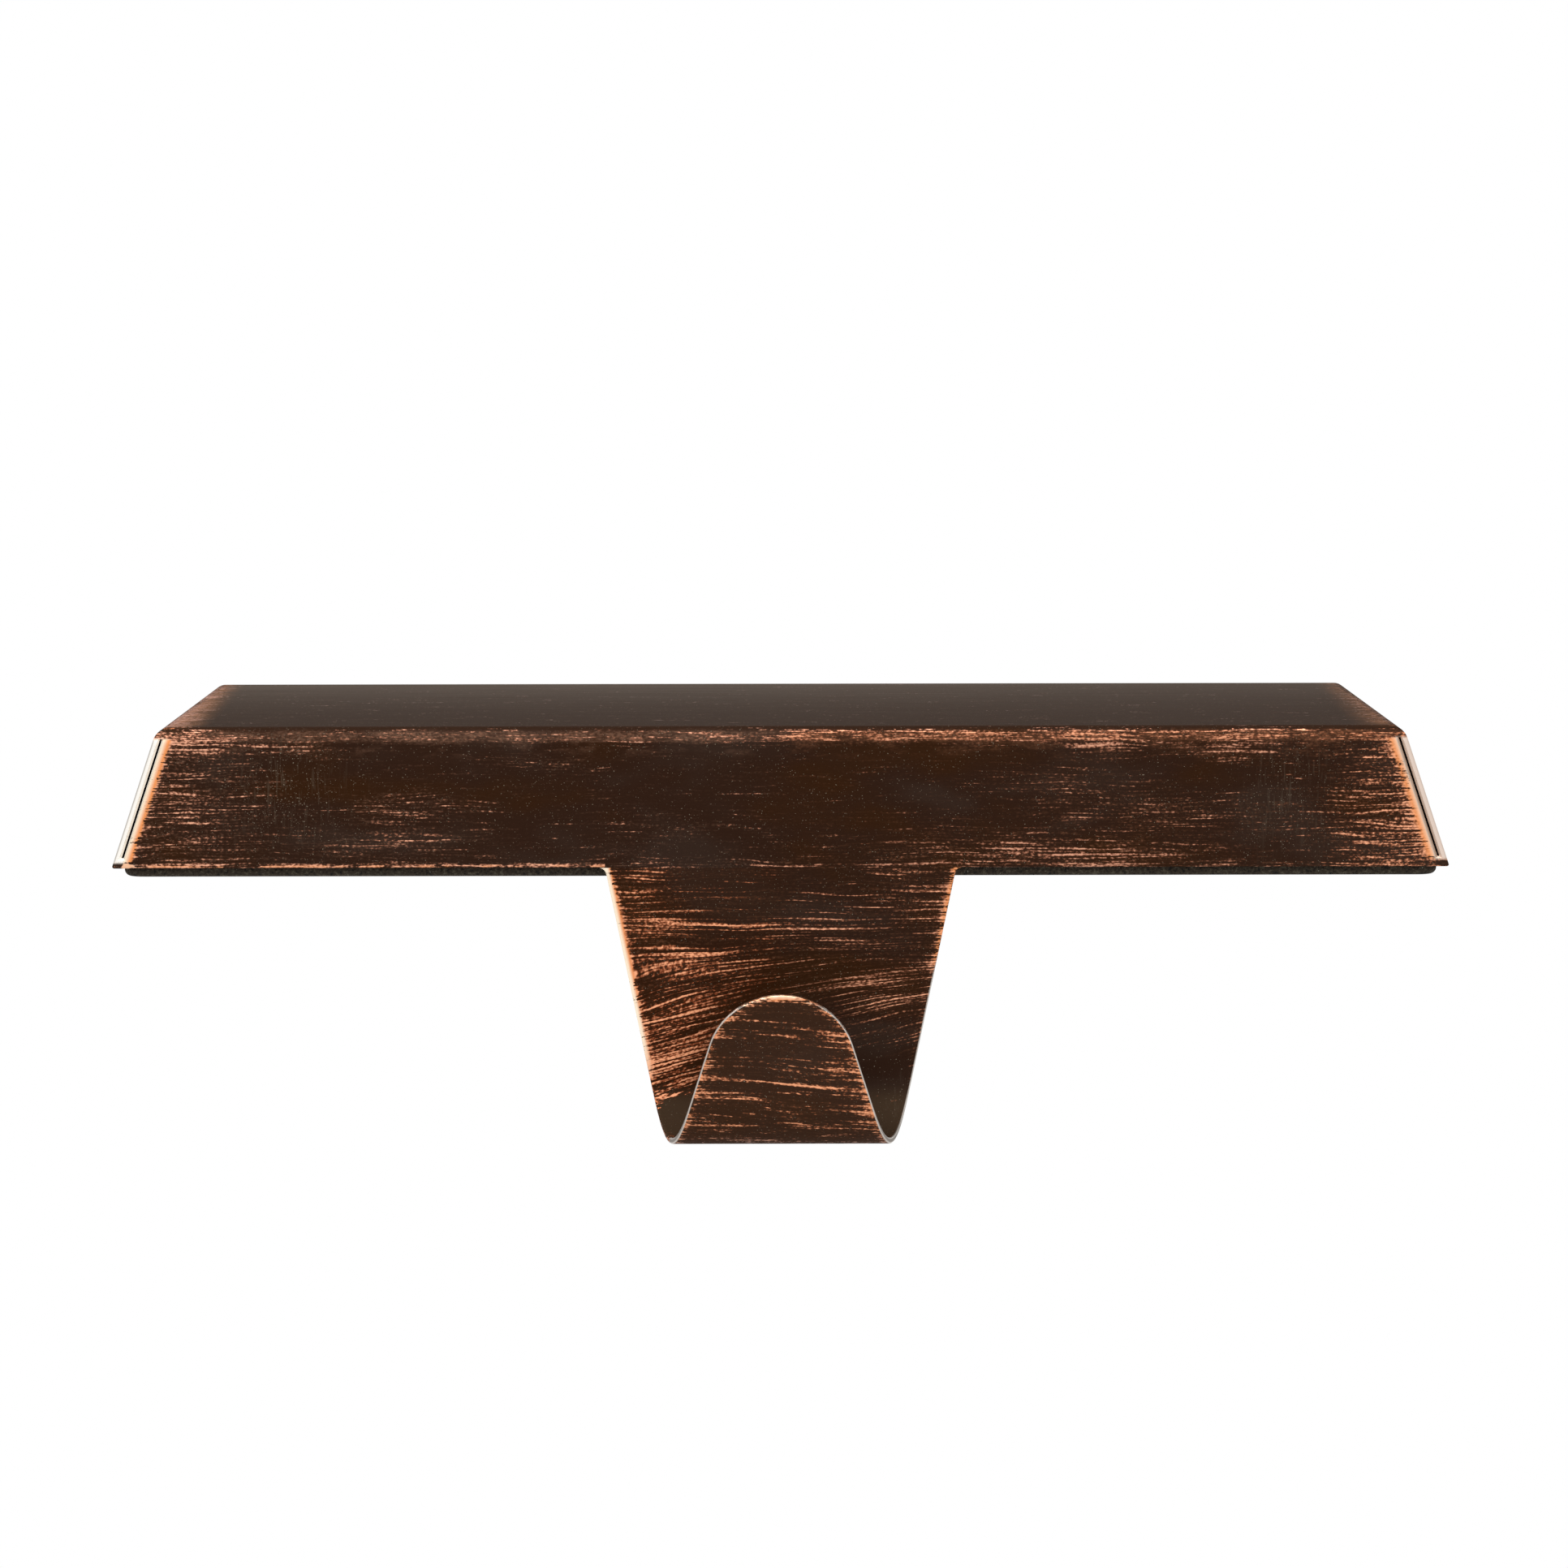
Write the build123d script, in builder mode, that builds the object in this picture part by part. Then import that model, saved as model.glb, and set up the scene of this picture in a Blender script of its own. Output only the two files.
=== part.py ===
from build123d import *
import os
from math import cos, radians, sin, tan

# Mantel stocking holder: a folded sheet cover with its hook, a cast weight inside it and a pad beneath.
# Millimetres, +Z up, the hook towards -Y. The origin is the middle of the pad's underside, on the shelf.

# Sheet and folds
sheet = 0.6              # thickness of the sheet that cover and hook are folded from
fold_radius = 1.6        # outside radius of the four folds round the top
edge_round = 0.2         # rounding of the sheared edges: rim, hook and mouths of the corner slits

# Cover
rim_length = 127.0       # overall length, end to end of the rounded rim
cover_depth = 63.5       # outside depth from front panel to back panel
cover_height = 13.4      # rim to top face
end_slope = 18.4         # lean of the end flaps from upright, in degrees
corner_gap = 0.18        # open slit between a panel's side and the end flap
corner_foot = 1.0        # closed length of each slit above the rim
corner_head = 1.1        # from the top face down to the head of each slit
mouth_angle = 45         # flare of the slits' mouths, in degrees

# Hook: a tapered tongue, a bend and a lip with a round tip, all one with the front panel
tongue_width = 33.4      # width of the tongue at the rim
tongue_taper = 11.8      # taper of each side of the tongue, in degrees
tongue_drop = 20.1       # straight length of the tongue below the rim
root_radius = 0.8        # fillets where the tongue leaves the rim
hook_radius = 5.0        # inside radius of the bend
lip_lean = 15.0          # lean of the lip away from the tongue, in degrees
lip_taper = 16.9         # taper of each side of the lip, in degrees
lip_length = 11.2        # straight length of the lip, bend to tip

# Weight
weight_gap = 0.5         # room between the weight and the walls of the cover
weight_round = 1.5       # rounding of the weight's upper edges

# Pad
pad_thickness = 0.9
pad_inset = 0.9          # from the outside of the cover in to the edge of the pad
pad_corner = 2.0         # corner radius of the pad in plan
pad_edge = 0.6           # rounding of the pad's lower edge

# Levels and places of the cover that follow from the sizes above
rim_z = pad_thickness
top_z = rim_z + cover_height
slope = tan(radians(end_slope))
slant = 1 / cos(radians(end_slope))
half_rim = rim_length / 2 + edge_round * (slope + slant - 1)
front = Plane.XZ.offset(cover_depth / 2)

# The hook's strip: levels, the bend's middle layer, and half widths at the rim and the bend's start
bend_z = rim_z - tongue_drop
hub_y = -cover_depth / 2 - hook_radius
bend_radius = hook_radius + sheet / 2
bend_turn = 180 - lip_lean
bend_length = bend_radius * radians(bend_turn)
tongue_slope = tan(radians(tongue_taper))
lip_slope = tan(radians(lip_taper))
rim_half = tongue_width / 2
bend_half = rim_half - tongue_drop * tongue_slope

os.makedirs("parts", exist_ok=True)


def end_profile(inset, low, high):
    """Four corners of the cover's section between two levels, drawn in from its end flaps by inset."""
    foot = half_rim - inset * slant - (low - rim_z) * slope
    head = half_rim - inset * slant - (high - rim_z) * slope
    return [(-foot, low), (foot, low), (head, high), (-head, high)]


def half_width(share):
    """Half width of the strip at a share of the bend, where its taper goes evenly over to the lip's."""
    return bend_half - bend_length * share * (tongue_slope + (lip_slope - tongue_slope) * share / 2)


def runs_along(edge):
    """Whether an edge starts out along the hook's strip and not across it."""
    start = edge % 0
    return abs(start.X) < Vector(0, start.Y, start.Z).length


# The lip's round tip, tangent to its tapered sides
lip_sin = sin(radians(lip_taper))
lip_cos = cos(radians(lip_taper))
lip_half = half_width(1)
tip_radius = (lip_half * lip_cos - lip_length * lip_sin) / (1 - lip_sin)
tip_half = tip_radius * lip_cos
tip_start = lip_length - tip_radius * (1 - lip_sin)


with BuildPart() as cover:
    # Box of the cover, folded round the top and open beneath
    with BuildSketch(front):
        Polygon(*end_profile(0, rim_z, top_z), align=None)
    extrude(amount=-cover_depth)
    fillet(cover.faces().sort_by(Axis.Z)[-1].edges(), fold_radius)
    offset(amount=-sheet, openings=cover.faces().sort_by(Axis.Z)[0])

    # Slits with flared mouths at the four corners, where the end flaps lap past the panels' sides
    slit_low = rim_z + corner_foot
    slit_high = top_z - corner_head
    for spread, slit_depth, taper in ((0, fold_radius, 0), (edge_round, edge_round, mouth_angle)):
        flap_side = end_profile(sheet - spread, slit_low - spread, slit_high + spread)
        panel_side = end_profile(sheet + corner_gap + spread, slit_low - spread, slit_high + spread)
        for panel, inward in ((front, -1), (front.offset(-cover_depth), 1)):
            with BuildSketch(panel):
                Polygon(flap_side[1], flap_side[2], panel_side[2], panel_side[1], align=None)
                mirror(about=Plane.YZ)
            extrude(amount=inward * slit_depth, taper=taper, mode=Mode.SUBTRACT)

    # Tongue, drawn with a strip of the front panel so that its root fillets run into the rim
    strip_half = rim_half + 2 * root_radius
    with BuildSketch(front):
        with BuildLine():
            Polyline(
                (-strip_half, rim_z + sheet),
                (-strip_half, rim_z),
                (-rim_half, rim_z),
                (-bend_half, bend_z),
                (bend_half, bend_z),
                (rim_half, rim_z),
                (strip_half, rim_z),
                (strip_half, rim_z + sheet),
                close=True,
            )
        make_face()
        roots = vertices().filter_by_position(Axis.Y, rim_z, rim_z).sort_by(Axis.X)[1:3]
        fillet(roots, root_radius)
    extrude(amount=-sheet)

    # Bend: the strip swept round the inside radius, narrower from start to middle to end
    with BuildLine(Plane.YZ) as bend:
        CenterArc((hub_y, bend_z), bend_radius, 0, -bend_turn)
    path = bend.line
    for share in (0, 1 / 2, 1):
        with BuildSketch(Plane(path @ share, x_dir=(1, 0, 0), z_dir=path % share)):
            Rectangle(2 * half_width(share), sheet)
    sweep(path=path, multisection=True)

    # Lip, straight on from the bend to its round tip
    lip_face = Vector(1, 0, 0).cross(path % 1)
    with BuildSketch(Plane(path @ 1, x_dir=(1, 0, 0), z_dir=lip_face)):
        with BuildLine():
            Polyline((-tip_half, tip_start), (-lip_half, 0), (lip_half, 0), (tip_half, tip_start))
            ThreePointArc((tip_half, tip_start), (0, lip_length), (-tip_half, tip_start))
        make_face()
    extrude(amount=sheet / 2, both=True)

    # Sheared edges of the rim and the hook, rounded as the shears and the brush leave them
    long_edges = cover.edges().filter_by(lambda edge: edge.length > sheet + edge_round)
    rim_edges = long_edges.filter_by_position(Axis.Z, rim_z, rim_z)
    hook_edges = long_edges.filter_by(lambda edge: edge.center().Z < rim_z and runs_along(edge))
    fillet(rim_edges + hook_edges, edge_round)

cover.part.label = "cover"
export_step(cover.part, "parts/cover.step")

with BuildPart() as weight:
    # Cast block that fills the cover: up against the top face and flush with the rim
    with BuildSketch(front.offset(-sheet - weight_gap)):
        Polygon(*end_profile(sheet + weight_gap, rim_z, top_z - sheet), align=None)
    extrude(amount=2 * (sheet + weight_gap) - cover_depth)
    fillet(weight.faces().sort_by(Axis.Z)[-1].edges(), weight_round)

weight.part.label = "weight"
export_step(weight.part, "parts/weight.step")

with BuildPart() as base_pad:
    # Pad glued to the weight, clear of the tongue's back face
    with BuildSketch():
        RectangleRounded(rim_length - 2 * pad_inset, cover_depth - 2 * pad_inset, pad_corner)
    extrude(amount=pad_thickness)
    fillet(base_pad.faces().sort_by(Axis.Z)[0].edges(), pad_edge)

base_pad.part.label = "base_pad"
export_step(base_pad.part, "parts/base_pad.step")
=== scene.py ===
"""Mantel stocking holder in brushed dark bronze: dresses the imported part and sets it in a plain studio."""
import logging
import math
from collections.abc import Callable
from dataclasses import dataclass
from enum import Enum

import bmesh
import bpy
from mathutils import Matrix, Vector

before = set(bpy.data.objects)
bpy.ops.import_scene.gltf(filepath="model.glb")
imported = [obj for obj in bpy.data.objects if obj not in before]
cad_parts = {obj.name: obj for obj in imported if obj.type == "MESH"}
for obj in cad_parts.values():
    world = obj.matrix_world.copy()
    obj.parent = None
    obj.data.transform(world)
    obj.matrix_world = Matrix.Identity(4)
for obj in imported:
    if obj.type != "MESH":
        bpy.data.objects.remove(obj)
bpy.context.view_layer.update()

log = logging.getLogger("stocking_holder")

MM = 1000.0  # millimetres in a metre
NOISE_MEAN = 0.5
Colour = tuple[float, float, float, float]
Span = tuple[float, float]  # two ends, such as where a ramp starts and where it is full
Point = tuple[float, float, float]
Settings = dict[str, object]
Sockets = dict[str | int, object]
WHITE: Colour = (1.0, 1.0, 1.0, 1.0)


def shade(red: int, green: int, blue: int) -> Colour:
    """Turns a screen colour of 0 to 255 into the linear colour that a shader takes.

    Args:
        red: Screen red.
        green: Screen green.
        blue: Screen blue.

    Returns:
        The linear colour with full alpha.
    """
    def linear(level: int) -> float:
        """Linear strength of one screen level."""
        share = level / 255
        return share / 12.92 if share <= 0.04045 else ((share + 0.055) / 1.055) ** 2.4

    return (linear(red), linear(green), linear(blue), 1.0)


def operator(operation: str, flipped: bool = False) -> Callable[["Field", "Number"], "Field"]:
    """Makes the method behind one operator on fields.

    Args:
        operation: What the Math node does.
        flipped: Whether the other value stands on the left.

    Returns:
        The method.
    """
    def method(field: "Field", other: "Number") -> "Field":
        """Adds the Math node."""
        return field.apply(operation, other, field) if flipped else field.apply(operation, field, other)

    return method


class Field:
    """A value over a surface: wraps a socket, so that sums and limits read as Python and add Math nodes."""

    def __init__(self, graph: "Graph", socket: bpy.types.NodeSocket) -> None:
        """Keeps the socket and the graph that its nodes go into."""
        self.graph = graph
        self.socket = socket

    def apply(self, operation: str, *terms: "Number") -> "Field":
        """Adds a Math node of that operation on these terms."""
        return self.graph.value("ShaderNodeMath", {"operation": operation}, dict(enumerate(terms)))

    __add__ = operator("ADD")
    __radd__ = operator("ADD", flipped=True)
    __sub__ = operator("SUBTRACT")
    __rsub__ = operator("SUBTRACT", flipped=True)
    __mul__ = operator("MULTIPLY")
    __rmul__ = operator("MULTIPLY", flipped=True)
    __truediv__ = operator("DIVIDE")
    __pow__ = operator("POWER")
    __lt__ = operator("LESS_THAN")
    __gt__ = operator("GREATER_THAN")
    at_least = operator("MAXIMUM")
    at_most = operator("MINIMUM")

    def __neg__(self) -> "Field":
        """Negative."""
        return self.apply("MULTIPLY", self, -1.0)

    def __abs__(self) -> "Field":
        """Size without sign."""
        return self.apply("ABSOLUTE", self)

    def fall(self, reach: float) -> "Field":
        """Falls from one at zero towards nothing, by a factor of e over each reach."""
        spent = self.at_least(0.0) * (-1 / reach)
        return spent.apply("EXPONENT", spent)

    def ramp(self, low: "Number", high: "Number") -> "Field":
        """Smooth step from zero at low to one at high."""
        sockets = {"Value": self, "From Min": low, "From Max": high}
        return self.graph.value("ShaderNodeMapRange", {"interpolation_type": "SMOOTHSTEP"}, sockets)

    def between(self, low: float, high: float) -> "Field":
        """Low where this is zero, high where it is one."""
        return low + (high - low) * self


Number = Field | float


class Graph:
    """Adds nodes to one node tree and links them."""

    def __init__(self, tree: bpy.types.NodeTree) -> None:
        """Starts from an empty tree."""
        self.tree = tree
        tree.nodes.clear()

    def node(self, kind: str, settings: Settings, sockets: Sockets) -> bpy.types.Node:
        """Adds one node.

        Args:
            kind: The node's type.
            settings: The node's own settings, which are set first.
            sockets: Values or links of its inputs, by name or place.

        Returns:
            The new node.
        """
        node = self.tree.nodes.new(kind)
        for name, setting in settings.items():
            setattr(node, name, setting)
        for key, value in sockets.items():
            if isinstance(value, Field):
                self.tree.links.new(value.socket, node.inputs[key])
            else:
                node.inputs[key].default_value = value
        return node

    def value(self, kind: str, settings: Settings, sockets: Sockets, output: str | int = 0) -> Field:
        """Adds one node and gives one of its outputs.

        Args:
            kind: The node's type.
            settings: The node's own settings.
            sockets: Values or links of its inputs.
            output: Name or place of the output.

        Returns:
            The output as a field.
        """
        return Field(self, self.node(kind, settings, sockets).outputs[output])

    def join(self, x: Number, y: Number, z: Number) -> Field:
        """A vector from three values."""
        return self.value("ShaderNodeCombineXYZ", {}, {"X": x, "Y": y, "Z": z})

    def split(self, vector: Field) -> tuple[Field, Field, Field]:
        """The three values of a vector."""
        node = self.node("ShaderNodeSeparateXYZ", {}, {"Vector": vector})
        return Field(self, node.outputs[0]), Field(self, node.outputs[1]), Field(self, node.outputs[2])

    def tint(self, factor: Number, under: Field | Colour, over: Field | Colour) -> Field:
        """A colour between two: under where the factor is zero and over where it is one."""
        settings = {"data_type": "RGBA", "clamp_factor": True}  # its colour sockets go by place
        return self.value("ShaderNodeMix", settings, {0: factor, 6: under, 7: over}, output=2)

    def noise(self, vector: Field, detail: float, roughness: float) -> Field:
        """Cloud noise of unit grain at a vector."""
        sockets = {"Vector": vector, "Scale": 1.0, "Detail": detail, "Roughness": roughness}
        return self.value("ShaderNodeTexNoise", {}, sockets, output="Fac")

    def bump(self, height: Field, strength: float, depth: float) -> Field:
        """A normal pushed by a height, with depth in metres."""
        sockets = {"Height": height, "Strength": strength, "Distance": depth}
        return self.value("ShaderNodeBump", {}, sockets)

    def surface(self, sockets: Sockets) -> None:
        """Ends the tree in one principled shader."""
        shader = self.value("ShaderNodeBsdfPrincipled", {}, sockets)
        self.node("ShaderNodeOutputMaterial", {}, {"Surface": shader})


def new_material(name: str) -> tuple[bpy.types.Material, Graph]:
    """Makes an empty material.

    Args:
        name: The material's name.

    Returns:
        The material and the graph of its nodes.
    """
    material = bpy.data.materials.new(name)
    material.use_nodes = True
    return material, Graph(material.node_tree)


def dress_node(name: str, material: bpy.types.Material) -> bpy.types.Object:
    """Puts a material in the slots of one of the part's nodes.

    Args:
        name: The node's name.
        material: The material.

    Returns:
        The node's object.
    """
    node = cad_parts[name]
    for slot in node.material_slots:
        slot.material = material
    return node


class Place:
    """Where a shaded point lies in the part's frame, in millimetres, and which way its face looks."""

    def __init__(self, graph: Graph) -> None:
        """Reads the point and its normal from the object's own coordinates.

        Args:
            graph: Where the nodes go.
        """
        where = graph.node("ShaderNodeTexCoord", {}, {})
        metres = Field(graph, where.outputs["Object"])
        point = graph.value("ShaderNodeVectorMath", {"operation": "SCALE"}, {0: metres, "Scale": MM})
        self.graph = graph
        self.x, self.y, self.z = graph.split(point)
        self.east, self.back, self.up = graph.split(Field(graph, where.outputs["Normal"]))


@dataclass(frozen=True)
class Mottle:
    """Cloud noise, with its grain along each axis in millimetres."""

    x: float
    y: float
    z: float
    detail: float
    roughness: float

    def over(self, place: Place) -> Field:
        """The noise at a shaded point."""
        point = place.graph.join(place.x / self.x, place.y / self.y, place.z / self.z)
        return place.graph.noise(point, self.detail, self.roughness)


class Face(Enum):
    """Faces of the cover that the brush worked in its own way."""

    FRONT = "front"
    LIP = "lip"


@dataclass(frozen=True)
class Patch:
    """A soft oval on a face, in millimetres, with the share of copper bared or of dust there."""

    x: float
    z: float
    reach_x: float
    reach_z: float
    share: float
    tilt: float = 0.0  # degrees, rising to the right

    def weight(self, place: Place) -> Field:
        """The patch's share at a point, falling off from its middle.

        Args:
            place: The shaded point.

        Returns:
            The share.
        """
        run = place.x - self.x
        rise = place.z - self.z - run * math.tan(math.radians(self.tilt))
        across, along = run / self.reach_x, rise / self.reach_z
        return (across * across + along * along).fall(1.0) * self.share


@dataclass
class Spot:
    """A shaded point with its masks, from zero to one, of places on the cover that wear in their own way.

    Spans are in millimetres, and those named turn are parts of the face's normal.
    """

    cover: "Cover"
    place: Place
    end_turn: Span = (0.74, 0.84)
    front_turn: Span = (0.2, 0.5)
    top_turn: Span = (0.80, 0.97)
    fold_turn: Span = (0.86, 0.62)
    fold_head: float = 1.1  # the worn fold is full from here below the top
    middle: Span = (2.0, -2.0)  # from the right half to the left
    far_right: Span = (44.0, 56.0)
    slit_foot: Span = (0.55, 0.90)  # the slits open over this rise from the rim
    slit_lower: float = 0.2  # and this much lower on the left
    slit_head: Span = (0.9, 1.3)  # they end over this drop from the top
    flap_side: Span = (0.05, -0.05)  # in from the panel's side, over to the flap
    panel_side: Span = (-0.1, 0.3)  # and over to the panel
    top_side: Span = (54.0, 58.4)  # worn ends of the top, at its front
    top_lean: float = 1.6  # how much further out they lie at its back
    top_drop: Span = (1.8, 0.7)
    top_sides: Span = (0.55, 1.0)  # how strong they are, right and left
    tip_rise: Span = (-11.6, -10.4)  # heights on the hook from here on
    low_right: Span = (-7.0, -11.0)
    low_left: Span = (-20.0, -15.0)
    ruddy_drop: Span = (-5.0, -13.0)
    ruddy_part: Span = (0.4, 1.0)

    def __post_init__(self) -> None:
        """Works out every mask at the shaded point."""
        cover, place = self.cover, self.place
        self.tint = place.graph.tint
        self.margin, self.on_lip = cover.hook_margin(place)
        self.off_lip = 1 - self.on_lip
        self.panel = cover.panel_margin(place)
        self.below = place.z < cover.rim_z
        self.above = 1 - self.below
        self.left = place.x.ramp(*self.middle)
        self.right = 1 - self.left
        self.right_end = place.x.ramp(*self.far_right)
        self.depth = place.y / cover.cover_depth + 0.5

        # Faces of the box and the fold at the top of its front
        self.ends = abs(place.east).ramp(*self.end_turn) * self.above
        self.front = (-place.back).ramp(*self.front_turn)
        self.upper = place.up.ramp(*self.top_turn) * self.above
        self.flank = (1 - self.ends) * self.above * (1 - self.upper)
        fold = place.z.ramp(cover.top_z - cover.fold_radius, cover.top_z - self.fold_head)
        self.band = fold * place.up.ramp(*self.fold_turn) * self.above
        top_end = (abs(place.x) - self.depth * self.top_lean).ramp(*self.top_side) * self.above
        top_end = top_end * place.z.ramp(*(cover.top_z - drop for drop in self.top_drop))
        self.top_end = top_end * self.left.between(*self.top_sides) * self.upper

        # Slits between the panels and the end flaps, with a closed foot
        rises = (cover.rim_z + rise - self.slit_lower * self.left for rise in self.slit_foot)
        sole = place.z.ramp(*rises)
        self.slit = sole * place.z.ramp(*(cover.top_z - drop for drop in self.slit_head))
        self.foot = (1 - sole) * self.panel.ramp(*self.panel_side)
        self.flap = self.panel.ramp(*self.flap_side) * self.flank * self.slit

        # Parts of the hook
        self.apex = place.z.ramp(*self.tip_rise) * self.on_lip
        self.right_low = self.right * place.z.ramp(*self.low_right) * self.off_lip
        self.left_tongue = self.left * self.off_lip * place.z.ramp(*self.low_left)
        ruddy = place.z.ramp(*self.ruddy_drop).between(*self.ruddy_part)
        self.ruddy = self.left * self.below * self.off_lip * ruddy


@dataclass(frozen=True)
class StrokeLayer:
    """One layer of brush noise: grain along and across the brush in millimetres, and its part in the sum."""

    length: float
    width: float
    detail: float
    shift: float  # moves the pattern, so that layers differ
    part: float
    roughness: float = 0.6

    def over(self, place: Place, along: Field, level: Field, ends: Field) -> Field:
        """Noise drawn out along the brush: along X, and along Y on the end flaps.

        Args:
            place: The shaded point.
            along: Place along the stroke, in place of X.
            level: Height of the stroke that the point lies on, in place of Z.
            ends: One on the end flaps.

        Returns:
            The noise.
        """
        run, across = 1 / self.length, 1 / self.width
        along_x = ends.between(run, across)
        along_y = ends.between(across, run)
        point = place.graph.join(along * along_x + self.shift, place.y * along_y, level * across)
        return place.graph.noise(point, self.detail, self.roughness)


@dataclass(frozen=True)
class Brush:
    """How the brush ran: level on the box, rising to the right low on the tongue, falling on the lip."""

    bold: StrokeLayer = StrokeLayer(6.5, 0.23, 1.0, 0.0, 0.46)
    fine: StrokeLayer = StrokeLayer(2.8, 0.10, 2.0, 7.0, 0.24)
    grain: StrokeLayer = StrokeLayer(0.36, 0.19, 1.0, 3.0, 0.30)
    wander: Mottle = Mottle(10.0, 10.0, 2.5, 1.0, 0.5)
    waver: float = 1.0  # how far a stroke wanders off its line, in millimetres
    turn: Span = (-4.0, -14.0)  # heights over which strokes turn from level to rising
    rise: float = 14.5  # degrees, low on the tongue
    rise_x: float = -2.0  # where a rising stroke keeps its height
    fall: float = 4.5  # degrees, on the lip
    hook_from: Span = (2.0, -3.0)  # heights over which strokes grow longer
    hook_draw: float = 0.45  # how much longer they run on the hook
    fold_fine: float = 0.18  # part that goes from bold to fine on the fold
    tongue_bold: float = 0.07  # part that goes from grain to bold on the tongue
    spread: float = 0.059  # spread of the summed noise about its mean
    least: float = 0.0006  # share bared anywhere
    most: float = 0.985
    curve: float = 0.14  # power and scale that turn a share into a level of the noise
    scale: float = 4.91

    def layers(self, spot: Spot) -> tuple[Field, Field, Field]:
        """Draws the layers of noise at a shaded point.

        Args:
            spot: The shaded point.

        Returns:
            The bold strokes, the fine scratches and the grain.
        """
        place = spot.place
        tilt = place.z.ramp(*self.turn) * math.tan(math.radians(self.rise)) * spot.off_lip
        fall = spot.on_lip * math.tan(math.radians(self.fall))
        waver = (self.wander.over(place) - NOISE_MEAN) * self.waver
        level = place.z - (place.x - self.rise_x) * tilt + place.x * fall + waver
        drawn = place.x * (1 - place.z.ramp(*self.hook_from) * self.hook_draw)
        bold = self.bold.over(place, drawn, level, spot.ends)
        fine = self.fine.over(place, drawn, level, spot.ends)
        return bold, fine, self.grain.over(place, place.x, level, spot.ends)

    def strokes(self, spot: "WornSpot") -> Field:
        """Sums the layers, finer on the fold and bolder on the tongue.

        Args:
            spot: The shaded point.

        Returns:
            The summed noise.
        """
        total = spot.bold * self.bold.part + spot.fine * self.fine.part + spot.grain * self.grain.part
        total = total + spot.band * (spot.fine - spot.bold) * self.fold_fine
        return total + spot.below * spot.off_lip * (spot.bold - spot.grain) * self.tongue_bold

    def excess(self, strokes: Field, share: Field) -> Field:
        """How far the strokes stand above the level that bares a given share of the surface.

        Args:
            strokes: Summed brush noise.
            share: Share to be bared, from zero to one.

        Returns:
            The excess, in spreads of the noise.
        """
        kept = share.at_least(self.least).at_most(self.most)
        level = ((1 - kept) ** self.curve - kept ** self.curve) * self.scale
        return (strokes - NOISE_MEAN) / self.spread - level


@dataclass(frozen=True)
class Wear:
    """Where the lacquer is gone: spans in millimetres from an edge, and shares of bared copper."""

    brush: Brush = Brush()
    clouds: Mottle = Mottle(14.0, 14.0, 6.0, 2.0, 0.5)
    clumps: Mottle = Mottle(3.4, 3.4, 1.1, 3.0, 0.65)
    pits: Span = (0.36, 0.62)  # grain that breaks the strokes up and sets the painted glints
    hook: Span = (1.4, 0.1)  # worn edge of the hook, from its inner bound to full
    hook_sides: Span = (0.55, 1.0)  # how strong it is elsewhere, and on the tongue's left
    hook_right: float = 0.8  # how much less low on the right
    hook_lip: float = 0.25  # and on the lip
    fray: Span = (-9.0, -14.0)  # heights over which the tongue's left edge frays
    fray_loss: float = 0.35
    tip: Span = (0.8, 0.3)  # worn edge of the round tip, in clumps
    tip_clumps: Span = (0.42, 0.60)
    tip_share: Span = (0.25, 0.85)
    panel_from: Span = (2.5, 1.75)  # inner bound of the worn sides of the front, right and left
    panel_to: Span = (0.3, 0.35)
    panel_sides: Span = (0.7, 1.0)
    panel_foot: Span = (0.3, 0.7)
    panel_share: float = 0.95
    rim: Span = (0.62, 0.16)  # worn line just above the rim
    rim_under: Span = (0.02, 0.12)
    rim_inset: Span = (0.0, 0.6)
    rim_sides: Span = (0.2, 0.8)
    rim_clumps: Span = (0.40, 0.56)
    rim_share: Span = (0.5, 1.2)
    ground: float = 0.004  # share bared anywhere on the front
    back: float = 0.03  # and more on faces that look another way
    end_clouds: Span = (0.42, 0.60)
    end_share: Span = (0.03, 0.19)
    top_clouds: Span = (0.40, 0.60)
    top_share: Span = (0.10, 0.46)
    top_kept: float = 0.9  # how much less on the top between its ends
    fold_share: float = 0.02
    fold_clumps: Span = (0.44, 0.62)
    fold_clump: float = 0.10
    fold_right: float = 0.11
    box_edge: Span = (-0.32, 0.30)  # how sharply copper ends, on the box
    hook_edge: Span = (-0.22, 0.20)  # and on the hook


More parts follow.
